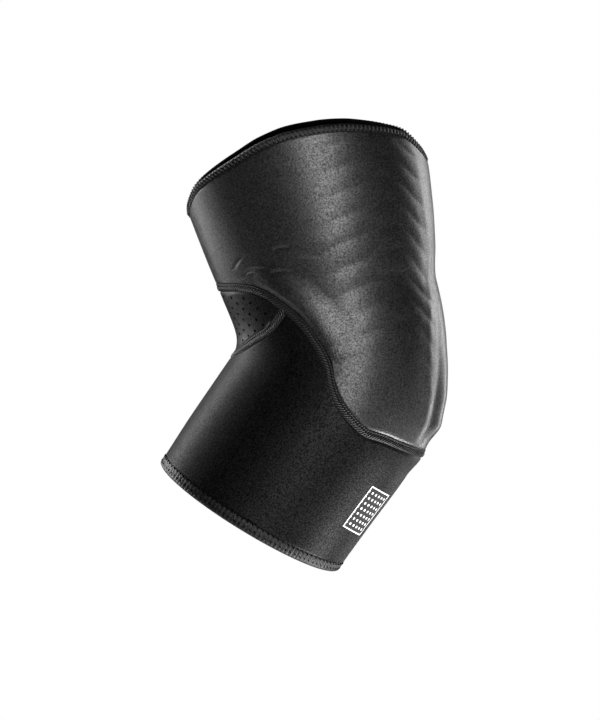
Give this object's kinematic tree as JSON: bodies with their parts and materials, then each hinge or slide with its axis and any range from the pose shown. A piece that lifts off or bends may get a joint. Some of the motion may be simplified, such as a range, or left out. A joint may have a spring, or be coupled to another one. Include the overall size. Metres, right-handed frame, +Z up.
{
  "type": "elbow brace",
  "caption": "Pull-on elbow sleeve of sponge rubber and knitted cloth, bent as worn, with a ribbed padded back and an air-holed panel in the crook.",
  "frame": {"origin": "where the elbow joint sits, in the middle of the hollow halfway round the bend; it is mount worn_elbow", "axes": "+Z up as in the picture, +X towards the point of the elbow, +Y across the arm, away from the side that the picture shows"},
  "size_m": [0.1379, 0.0978, 0.216],
  "materials": {
    "ribbed_cloth": "black knitted facing on 3 mm sponge rubber, moulded in soft ribs, satin",
    "smooth_cloth": "black fine-knit facing on 3 mm sponge rubber, smooth, satin",
    "vent_cloth": "black knitted facing on 3 mm sponge rubber, pierced by rows of small air holes",
    "edge_tape": "black soft stretch tape folded over the edge and stitched",
    "seam_thread": "black flat overlock seam of close slanted stitches"
  },
  "bodies": {
    "root": {"upper_panel": "ribbed_cloth", "lower_panel": "smooth_cloth", "vent_panel": "vent_cloth", "top_binding": "edge_tape", "bottom_binding": "edge_tape", "elbow_seam": "seam_thread", "vent_seam": "seam_thread"}
  },
  "joints": []
}
